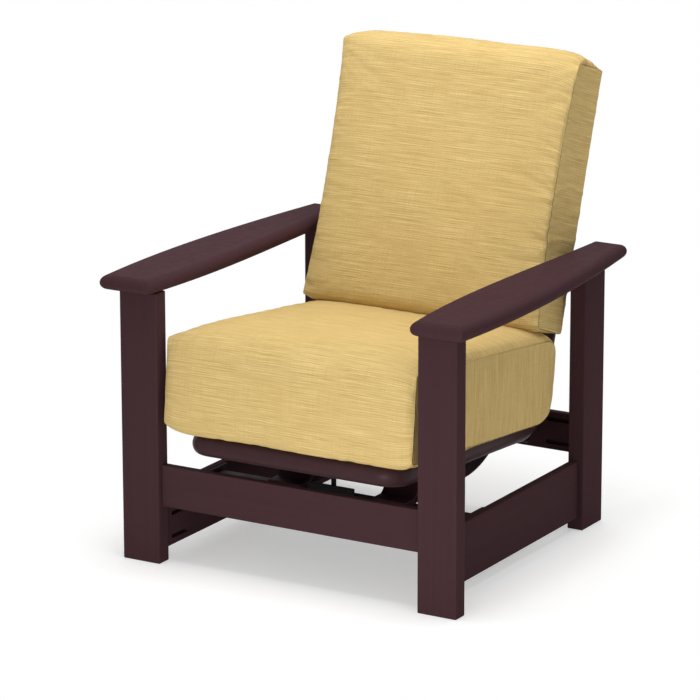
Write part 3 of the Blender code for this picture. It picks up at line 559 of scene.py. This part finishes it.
sideLine = {
    "front": (0.0315, 0.2624),  # depth and height of the front of the loop
    "tilt": math.radians(3.8),
    "lean": math.radians(19.0),
    "seat": 0.5745,
    "back": 0.746,
    "bend": 0.072,
}
bendTurn = math.pi / 2 - sideLine["lean"] + sideLine["tilt"]
bendTangent = sideLine["bend"] * math.tan(bendTurn / 2)
bendStart = sideLine["seat"] - bendTangent
bendEnd = bendStart + sideLine["bend"] * bendTurn
loopLength = bendEnd + sideLine["back"] - bendTangent


def alongSide(distance, lift):
    # straight seat line, an arc of the bend's radius and the straight back line; lift is square to them
    tilt, bend = sideLine["tilt"], sideLine["bend"]
    straight = np.minimum(distance, bendStart)
    turned = np.clip((distance - bendStart) / bend, 0, bendTurn)
    slope = turned - tilt
    rest = np.maximum(distance - bendEnd, 0)
    depth = sideLine["front"][0] + straight * math.cos(tilt) + bend * (np.sin(slope) + math.sin(tilt))
    height = sideLine["front"][1] - straight * math.sin(tilt) + bend * (math.cos(tilt) - np.cos(slope))
    depth = depth + rest * np.cos(slope) - lift * np.sin(slope)
    height = height + rest * np.sin(slope) + lift * np.cos(slope)
    return depth + chairShift, height


tubeShape = {
    "width": 0.032,
    "depth": 0.042,
    "halfSpan": 0.2416,
    "frontCorner": 0.039,
    "topCorner": 0.080,
    "cornerRoom": 0.12,  # the straight sides' even steps keep this far from both ends
    "sides": 28,
    "cornerSteps": 14,
    "bendSteps": 22,
}


def makeTube():
    # rounded rectangle of the loop, carried up the bent side line, with an oval section
    shape = tubeShape
    span = shape["halfSpan"]
    corners = [(-span, 0), (span, 0), (span, loopLength), (-span, loopLength)]
    radii = (shape["frontCorner"],) * 2 + (shape["topCorner"],) * 2
    flat = roundedPath(corners, radii, shape["cornerSteps"], closed=True)
    half = len(flat) // 2
    room = shape["cornerRoom"]
    up = np.concatenate((np.linspace(room, bendStart, 6)[:-1],
                         np.linspace(bendStart, bendEnd, shape["bendSteps"]),
                         np.linspace(bendEnd, loopLength - room, 7)[1:]))
    rightSide = np.column_stack((np.full(len(up), span), up))
    leftSide = np.column_stack((np.full(len(up), -span), up[::-1]))
    path = np.vstack((flat[:half], rightSide, flat[half:], leftSide))
    along = np.roll(path, -1, axis=0) - np.roll(path, 1, axis=0)
    along /= np.linalg.norm(along, axis=1)[:, None]
    angle = np.linspace(0, 2 * np.pi, shape["sides"], endpoint=False)
    out = shape["width"] / 2 * np.cos(angle)[None]
    lift = shape["depth"] / 2 * np.sin(angle)[None]
    depth, height = alongSide(path[:, 1:] - out * along[:, :1], lift)
    vertices = np.stack((path[:, :1] + out * along[:, 1:], depth, height), axis=2).reshape(-1, 3)
    faces = turnedOut(vertices, [gridQuads(len(path), shape["sides"], True, True)])
    piece = addPiece("seatBackTube", vertices, faces, "seat_unit", coated["framePaint"])
    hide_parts("seat_back_frame")


springShape = {
    "width": 0.079,
    "thickness": 0.006,
    "offset": 0.1255,
    "edge": 0.0012,
    "crossbar": 0.200,
    "frontFoot": 0.1506,
    "rearFoot": 0.1443,
    "knee": 0.0384,
    "slope": math.radians(47),
    "frontBend": 0.018,
    "rearBend": 0.235,
    "saddleDepth": 0.0125,
    "gap": 0.0003,
    "held": 0.024,  # how far a spring runs on under its saddle
    "footInset": 0.001,
    "footLength": 0.05,
    "bendSteps": (14, 40),  # front and rear
    "sharp": math.radians(50),
    "saddles": {"front": (0.2935, -0.0128),  # distance along the side line and lift
                "rear": (bendStart + sideLine["bend"] * math.radians(33.8), -0.026)},
}


def underSaddle(word, along):
    # the middle of a spring that lies under its saddle, this far along it, and the slope there
    distance, lift = springShape["saddles"][word]
    depth, height = alongSide(np.array(distance), lift)
    slope = float(np.clip((distance - bendStart) / sideLine["bend"], 0, bendTurn)) - sideLine["tilt"]
    down = -springShape["saddleDepth"] - springShape["gap"] - springShape["thickness"] / 2
    return (float(depth) + along * math.cos(slope) - down * math.sin(slope),
            float(height) + along * math.sin(slope) + down * math.cos(slope), slope)


def springPath(word):
    # middle line of a spring: flat on the crossbar, a bend, for the front one a straight flank whose upper
    # corner is where its line meets that of the seat, and flat under the saddle; then two points that mark
    # the ends of its bent stretch, which makeSpring does not use
    shape = springShape
    start = shape["crossbar"] + chairShift
    if word == "front":
        foot = shape["frontFoot"]
        knee = (start + shape["knee"], foot)
        end = underSaddle("front", shape["held"])
        rise, run = math.tan(shape["slope"]), -math.tan(sideLine["tilt"])
        across = (end[1] - run * end[0] - knee[1] + rise * knee[0]) / (rise - run)
        upper = (across, knee[1] + rise * (across - knee[0]))
        points = [(start + shape["footInset"], foot), knee, upper, end[:2]]
        radii = (0, shape["frontBend"], shape["frontBend"], 0)
        return roundedPath(points, radii, shape["bendSteps"][0]), knee, upper
    foot = shape["rearFoot"]
    hold = underSaddle("rear", 0.0)
    knee = (hold[0] - (hold[1] - foot) / math.tan(hold[2]), foot)
    points = [(start + shape["footInset"], foot), knee, underSaddle("rear", shape["held"])[:2]]
    path = roundedPath(points, (0, shape["rearBend"], 0), shape["bendSteps"][1])
    return path, (start + shape["footLength"], foot), hold[:2]


def makeSpring(word, side, hand):
    # flat strip: its section, a rectangle with eased edges, carried square to the path
    shape = springShape
    path, startAt, endAt = springPath(word)
    steps = np.diff(path, axis=0)
    steps /= np.linalg.norm(steps, axis=1)[:, None]
    mean = np.vstack((steps[:1], steps)) + np.vstack((steps, steps[-1:]))
    mean /= np.linalg.norm(mean, axis=1)[:, None]
    up = np.column_stack((-mean[:, 1], mean[:, 0]))
    a, b = shape["width"] / 2, shape["thickness"] / 2
    section = roundedPath([(-a, -b), (a, -b), (a, b), (-a, b)], [shape["edge"]] * 4, 3, closed=True)
    x = side * shape["offset"] + np.broadcast_to(section[:, 0], (len(path), len(section)))
    y = path[:, :1] + up[:, :1] * section[:, 1]
    z = path[:, 1:] + up[:, 1:] * section[:, 1]
    vertices = np.stack((x, y, z), axis=2).reshape(-1, 3)
    count = len(section)
    k = np.arange(count // 2 - 1)
    caps = [first + np.column_stack((k, k + 1, count - 2 - k, count - 1 - k))
            for first in (0, (len(path) - 1) * count)]
    faces = turnedOut(vertices, [gridQuads(len(path), count, wrapColumns=True), caps[0][:, ::-1], caps[1]])
    piece = addPiece(word + "Leaf" + hand.title(), vertices, faces, None, coated["springPaint"])
    piece.data.set_sharp_from_angle(angle=shape["sharp"])
    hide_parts(word + "_spring_" + hand)
    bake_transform(piece)


makeTube()
for word in ("front", "rear"):
    for side, hand in ((-1, "left"), (1, "right")):
        makeSpring(word, side, hand)
finishes = {
    "framePaint": ["front_saddle", "rear_saddle"] + [name for name in nodes if "_slat_" in name],
    "springPaint": ["crossbar", "crossbar_clamp_left", "crossbar_clamp_right"],
    "zincPlate": [name for name in nodes if name.startswith("rail_bolt_") or "saddle_clamp" in name],
    "blackPaint": ["stop_bracket", "stop_post"],
    "blackRubber": ["stop_cap"],
}
for finish, names in finishes.items():
    for name in names:
        dress(nodes[name], coated[finish])
print("frame, springs and fittings dressed")


# A cushion's section lies along and above a line of the frame. The seam outline is that of the side panels,
# the middle outline stands proud of it. Corners and sides run front bottom, front top, rear top, rear bottom
# and front, top, rear, bottom. Cloth: pressure, spare length as a share, stiffness in bending, rounds of the
# average and the most that a fold may stand out.
seatCushion = {
    "name": "seatPad",
    "node": "seat_cushion",
    "origin": (0.0315 + chairShift, 0.2624),
    "slope": -math.radians(3.8),
    "seam": [(-0.0315, 0.0400), (-0.0252, 0.2230), (0.5760, 0.1965), (0.5680, 0.0236)],
    "middle": [(-0.0455, 0.0216), (-0.0392, 0.2520), (0.5800, 0.2225), (0.5680, 0.0216)],
    "radii": [0.007, 0.008, 0.042, 0.066],
    "middleRadii": [0.034, 0.062, 0.050, 0.066],
    "counts": (28, 88),  # steps up the front and along the top
    "halfWidth": 0.293,
    "shift": (0.0, 0.0),  # sideways at the start and the end of the section's line
    "drawnIn": (0.001, 0.005, 0.004, 0.003),  # how far each side's seam is pulled in between its corners
    "panelBulge": 0.007,
    "crown": (12.0, 7.0, 8.0, 16.0),  # how late each side of the section starts to round off
    "cornerCrowns": (14.0, 3.6, 7.5, 12.0),  # the same at its corners
    "cornerRoots": (0.80, 1.0, 0.65, 0.80),
    "floorLift": 0.0215,  # the slats it rests on
    "puckers": (70, 0.0012),  # count and height
    "seed": 11,
    "cloth": {"pressure": 4.0, "spare": 0.02, "bending": 0.3, "rounds": 7, "cap": 0.002},
    "fill": 0.8,
}
backCushion = {
    "name": "backPad",
    "node": "back_cushion",
    "origin": (0.0315 + sideLine["seat"] * math.cos(sideLine["tilt"]) + chairShift,
               0.2624 - sideLine["seat"] * math.sin(sideLine["tilt"])),
    "slope": math.pi / 2 - sideLine["lean"],
    "seam": [(0.2030, 0.1314), (0.7650, 0.1314), (0.7650, 0.0180), (0.2010, 0.0180)],
    "middle": [(0.1880, 0.1494), (0.7965, 0.1480), (0.7910, 0.0219), (0.2020, 0.0219)],
    "radii": [0.010, 0.007, 0.008, 0.014],
    "middleRadii": [0.036, 0.060, 0.040, 0.034],
    "counts": (104, 20),
    "halfWidth": 0.2875,
    "shift": (-0.003, -0.008),
    "drawnIn": (0.013, 0.007, 0.002, 0.002),
    "panelBulge": 0.006,
    "crown": (7.0, 7.0, 8.0, 9.0),
    "cornerCrowns": (8.0, 7.0, 7.5, 8.5),
    "cornerRoots": (0.70, 0.75, 0.70, 0.70),
    "floorLift": 0.0219,
    "puckers": (150, 0.0040),
    "seed": 5,
    "cloth": {"pressure": 4.0, "spare": 0.03, "bending": 0.2, "rounds": 4, "cap": 0.0010},
    "fill": 0.8,
}
padForm = {
    "columnStep": 0.0068,
    "edgeCrowding": 0.45,  # columns stand closer together towards the seams
    "crownBlends": 12,
    "cornerSpread": 3,
    "drawnSharpness": 22,
    "drawnFade": 2.5,
    "bulgeRoundness": 0.6,
}
foldForm = {  # the folds along the seams, whose numbers are drawn between two ends, and the slow wave
    "width": (0.004, 0.009),
    "reach": (0.010, 0.045),
    "height": (-1.3, 0.8),  # times the cushion's own
    "skew": (-0.4, 0.4),
    "start": 0.006,
    "sideShare": 0.5,
    "waves": ((31, 23), (13, 11)),  # radians per metre along and across
    "waveHeight": 0.0009,
    "waveStart": 0.05,
}
clothForm = {"quality": 4, "frames": 20, "heldWithin": 0.0005}


def sectionOutline(corners, radii, counts, arcSteps=16):
    # rounded section, each side between the middles of its corners cut into even steps
    dense = roundedPath(corners, radii, arcSteps, closed=True)
    made = []
    for k in range(4):
        first = k * (arcSteps + 1) + arcSteps // 2
        last = (k + 1) % 4 * (arcSteps + 1) + arcSteps // 2
        path = dense[first:last + 1] if last > first else np.vstack((dense[first:], dense[:last + 1]))
        travel = np.concatenate(([0], np.cumsum(np.linalg.norm(np.diff(path, axis=0), axis=1))))
        at = np.linspace(0, travel[-1], counts[k] + 1)[:-1]
        made.append(np.column_stack([np.interp(at, travel, path[:, m]) for m in (0, 1)]))
    return np.vstack(made)


def cushionShape(spec):
    # points, faces and weave, each point's distance from the seam and its place along it;
    # main panel: across the cushion its outline goes from the seam's to the middle's by
    # (1 - |share|^power)^root, and x = share * half width less |share|^sharpness times what the seam is
    # drawn in, the power set for each side and corner of the section, the root rising from 0.5 towards the
    # corners; side panels: a grid between the four sides of the seam, a Coons patch, bulging by
    # (16 u (1-u) v (1-v))^roundness
    form = padForm
    up, over = spec["counts"]
    counts = (up, over, up, over)
    seam = sectionOutline(spec["seam"], spec["radii"], counts)
    middle = sectionOutline(spec["middle"], spec["middleRadii"], counts)
    count = len(seam)
    columns = int(round(2 * spec["halfWidth"] / form["columnStep"])) | 1
    even = np.linspace(-1, 1, columns)
    share = np.sin(even * np.pi / 2) * form["edgeCrowding"] + even * (1 - form["edgeCrowding"])
    position = np.concatenate([np.linspace(-1, 1, n + 1)[:-1] for n in counts])
    nextCorner = (np.repeat(np.arange(4), counts) + (position > 0)) % 4
    toCorner = np.abs(position)
    nearCorner = toCorner ** form["cornerSpread"]
    drawn = np.repeat(spec["drawnIn"], counts) * (1 - toCorner ** form["drawnFade"])
    power = np.repeat(spec["crown"], counts)
    for _ in range(form["crownBlends"]):
        power = (np.roll(power, 1) + power + np.roll(power, -1)) / 3
    power += (np.array(spec["cornerCrowns"])[nextCorner] - power) * nearCorner
    root = 0.5 + (np.array(spec["cornerRoots"])[nextCorner] - 0.5) * nearCorner
    grow = (1 - np.abs(share)[None] ** power[:, None]) ** root[:, None]
    length = (seam[:, 0] - seam[:, 0].min()) / np.ptp(seam[:, 0])
    sideways = spec["shift"][0] + (spec["shift"][1] - spec["shift"][0]) * length
    pulled = np.sign(share) * np.abs(share)[None] ** form["drawnSharpness"] * drawn[:, None]
    x = sideways[:, None] + share * spec["halfWidth"] - pulled
    along = seam[:, :1] + (middle - seam)[:, :1] * grow
    above = seam[:, 1:] + (middle - seam)[:, 1:] * grow
    parts = [np.stack((x, along, above), axis=2).reshape(-1, 3)]
    closed = np.vstack((middle, middle[:1]))
    travel = np.concatenate(([0], np.cumsum(np.linalg.norm(np.diff(closed, axis=0), axis=1))))
    apart = [np.tile((1 - np.abs(share)) * spec["halfWidth"], count)]
    where = [np.repeat(travel[:-1], columns)]
    faces = [gridQuads(count, columns, wrapRows=True)]
    i, j = np.divmod(np.arange(count * (columns - 1)), columns - 1)
    uv = [np.stack([np.column_stack((share[q] * spec["halfWidth"], travel[p]))
                    for p, q in ((i, j), (i + 1, j), (i + 1, j + 1), (i, j + 1))], axis=1)]
    ring = np.arange(count)
    front, top = ring[:up + 1], ring[up:up + over + 1]
    rear, bottom = ring[up + over:2 * up + over + 1], np.append(ring[2 * up + over:], 0)
    total = count * columns
    v, u = np.meshgrid(np.linspace(0, 1, up + 1), np.linspace(0, 1, over + 1), indexing="ij")
    for side, column in ((-1, 0), (1, columns - 1)):
        edge = parts[0].reshape(count, columns, 3)[:, column]
        west, north, east, south = edge[front], edge[top], edge[rear][::-1], edge[bottom][::-1]
        points = (south[None] * (1 - v)[..., None] + north[None] * v[..., None]
                  + west[:, None] * (1 - u)[..., None] + east[:, None] * u[..., None]
                  - edge[front[0]] * ((1 - u) * (1 - v))[..., None]
                  - edge[rear[-1]] * (u * (1 - v))[..., None]
                  - edge[top[0]] * ((1 - u) * v)[..., None]
                  - edge[rear[0]] * (u * v)[..., None])
        bulge = (16 * u * (1 - u) * v * (1 - v)) ** form["bulgeRoundness"]
        points[..., 0] += side * spec["panelBulge"] * bulge
        index = np.empty((up + 1, over + 1), int)
        index[:, 0], index[-1], index[:, -1], index[0] = front, top, rear[::-1], bottom[::-1]
        index = index * columns + column
        inner = index[1:-1, 1:-1]
        inner[...] = total + np.arange(inner.size).reshape(inner.shape)
        total += inner.size
        parts.append(points[1:-1, 1:-1].reshape(-1, 3))
        lengths = [np.linalg.norm(points[:, -1] - points[:, 0], axis=1).mean(),
                   np.linalg.norm(points[-1] - points[0], axis=1).mean()]
        gaps = np.stack((u * lengths[0], (1 - v) * lengths[1], (1 - u) * lengths[0], v * lengths[1]))
        starts = travel[[0, up, up + over, 2 * up + over]]
        spots = np.stack((starts[0] + v * lengths[1], starts[1] + u * lengths[0],
                          starts[2] + (1 - v) * lengths[1], starts[3] + (1 - u) * lengths[0]))
        nearest = gaps.argmin(axis=0)[None]
        apart.append(np.take_along_axis(gaps, nearest, 0)[0][1:-1, 1:-1].ravel())
        where.append(np.take_along_axis(spots, nearest, 0)[0][1:-1, 1:-1].ravel())
        quads = np.stack((index[:-1, :-1], index[:-1, 1:], index[1:, 1:], index[1:, :-1]), axis=2)
        quads = quads.reshape(-1, 4)
        faces.append(quads if side > 0 else quads[:, ::-1])
        weave = np.stack((points[..., 2], points[..., 1]), axis=2)
        corners = np.stack((weave[:-1, :-1], weave[:-1, 1:], weave[1:, 1:], weave[1:, :-1]), axis=2)
        corners = corners.reshape(-1, 4, 2)
        uv.append(corners if side > 0 else corners[:, ::-1])
    return np.vstack(parts), faces, uv, np.concatenate(apart), np.concatenate(where), count * columns


def toWorld(spec, points):
    # from across, along and above the frame's line to the chair's own axes
    c, s = math.cos(spec["slope"]), math.sin(spec["slope"])
    return np.column_stack((points[:, 0], spec["origin"][0] + points[:, 1] * c - points[:, 2] * s,
                            spec["origin"][1] + points[:, 1] * s + points[:, 2] * c))


def toLocal(spec, vectors):
    # directions of the chair's axes turned to those of the cushion
    c, s = math.cos(spec["slope"]), math.sin(spec["slope"])
    return np.column_stack((vectors[:, 0], vectors[:, 1] * c + vectors[:, 2] * s,
                            vectors[:, 2] * c - vectors[:, 1] * s))


def puckered(spec, points, normals, apart, where, mainCount):
    # folds that start at a seam: size * exp(-(offset/width)^2) * exp(-apart/reach) * (1 - exp(-apart/start)),
    # with a slow wave of the filling, sin * sin, over all
    form = foldForm
    rng = np.random.default_rng(spec["seed"])
    count, size = spec["puckers"]
    total = where.max()
    lift = np.zeros(len(points))
    strength = np.where(np.arange(len(points)) < mainCount, 1.0, form["sideShare"])
    for side in (-1, 1):
        near = (np.sign(points[:, 0]) == side) * strength
        for _ in range(count):
            at, width, reach = rng.uniform(0, total), rng.uniform(*form["width"]), rng.uniform(*form["reach"])
            height, skew = rng.uniform(*form["height"]) * size, rng.uniform(*form["skew"])
            gap = (where - at - skew * apart + total / 2) % total - total / 2
            fold = height * np.exp(-(gap / width) ** 2) * np.exp(-apart / reach)
            lift += near * fold * (1 - np.exp(-apart / form["start"]))
    phase = rng.uniform(0, 6.28, 4)
    wave = 0.0
    for k, (lengthwise, crosswise) in enumerate(form["waves"]):
        wave = wave + (np.sin(points[:, 1] * lengthwise + phase[2 * k])
                       * np.sin(points[:, 0] * crosswise + phase[2 * k + 1]))
    lift += wave * form["waveHeight"] * (1 - np.exp(-apart / form["waveStart"]))
    return points + normals * lift[:, None]


def pointNormals(mesh):
    # one normal for each point
    normals = np.empty(len(mesh.vertices) * 3)
    mesh.vertex_normals.foreach_get("vector", normals)
    return normals.reshape(-1, 3)


def gathered(spec, piece, apart):
    # cloth with spare length, held along its seams and blown up; of its movement only what is finer than a
    # slow average over the mesh is kept, as cap * tanh(size/cap), so the outline stays and the folds come out
    settings = spec["cloth"]
    scene = bpy.context.scene
    mesh = piece.data
    trial = bpy.data.objects.new("trialCloth", mesh.copy())
    scene.collection.objects.link(trial)
    held = trial.vertex_groups.new(name="held")
    held.add(np.flatnonzero(apart < clothForm["heldWithin"]).tolist(), 1.0, "REPLACE")
    cloth = trial.modifiers.new("cloth", "CLOTH")
    cloth.settings.quality = clothForm["quality"]
    cloth.settings.use_pressure = True
    cloth.settings.uniform_pressure_force = settings["pressure"]
    cloth.settings.shrink_min = -settings["spare"]
    cloth.settings.bending_stiffness = settings["bending"]
    cloth.settings.effector_weights.gravity = 0.0
    cloth.settings.vertex_group_mass = "held"
    cloth.point_cache.frame_start, cloth.point_cache.frame_end = 1, clothForm["frames"]
    for step in range(1, clothForm["frames"] + 1):
        scene.frame_set(step)
    before, after = np.empty(len(apart) * 3), np.empty(len(apart) * 3)
    mesh.vertices.foreach_get("co", before)
    settled = trial.evaluated_get(bpy.context.evaluated_depsgraph_get())
    settled.data.vertices.foreach_get("co", after)
    bpy.data.meshes.remove(trial.data)
    scene.frame_set(1)
    moved = (after - before).reshape(-1, 3)
    ends = np.empty(len(mesh.edges) * 2, int)
    mesh.edges.foreach_get("vertices", ends)
    start, stop = ends.reshape(-1, 2).T
    both, other = np.concatenate((start, stop)), np.concatenate((stop, start))
    share = 1 / np.bincount(both, minlength=len(apart))
    slow = moved.copy()
    for _ in range(settings["rounds"]):
        near = [np.bincount(both, slow[other, k], len(apart)) * share for k in range(3)]
        slow = (slow + np.column_stack(near)) / 2
    fold = moved - slow
    size = np.linalg.norm(fold, axis=1) + 1e-9
    fold *= (settings["cap"] * np.tanh(size / settings["cap"]) / size)[:, None]
    print(spec["name"], "gathered: folds up to", round(size.max() * 1000, 1), "mm before the cap")
    return fold


def makeCushion(spec):
    # the closed grids, puckered, gathered by cloth and pressed flat where they rest, then one subdivision
    local, faces, uv, apart, where, mainCount = cushionShape(spec)
    vertices = toWorld(spec, local)
    turned = turnedOut(vertices, faces)
    piece = addPiece(spec["name"], vertices, turned, None, fabric)
    mesh = piece.data
    local = puckered(spec, local, toLocal(spec, pointNormals(mesh)), apart, where, mainCount)
    local[:, 2] = np.maximum(local[:, 2], spec["floorLift"])
    mesh.vertices.foreach_set("co", toWorld(spec, local).ravel())
    local += toLocal(spec, gathered(spec, piece, apart))
    local[:, 2] = np.maximum(local[:, 2], spec["floorLift"])
    mesh.vertices.foreach_set("co", toWorld(spec, local).ravel())
    layer = mesh.uv_layers.new(name="weave")
    corners = [group if turned is faces else group[:, ::-1] for group in uv]
    layer.data.foreach_set("uv", np.concatenate(corners).reshape(-1))
    seam = mesh.attributes.new("seamDistance", "FLOAT", "POINT")
    seam.data.foreach_set("value", apart.astype(np.float32))
    mesh.update()
    smoother = piece.modifiers.new("fineSurface", "SUBSURF")
    smoother.levels = smoother.render_levels = 1
    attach(piece, "seat_unit")
    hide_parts(spec["node"])
    print(spec["name"], "made with", len(mesh.polygons), "faces")


makeCushion(seatCushion)
makeCushion(backCushion)
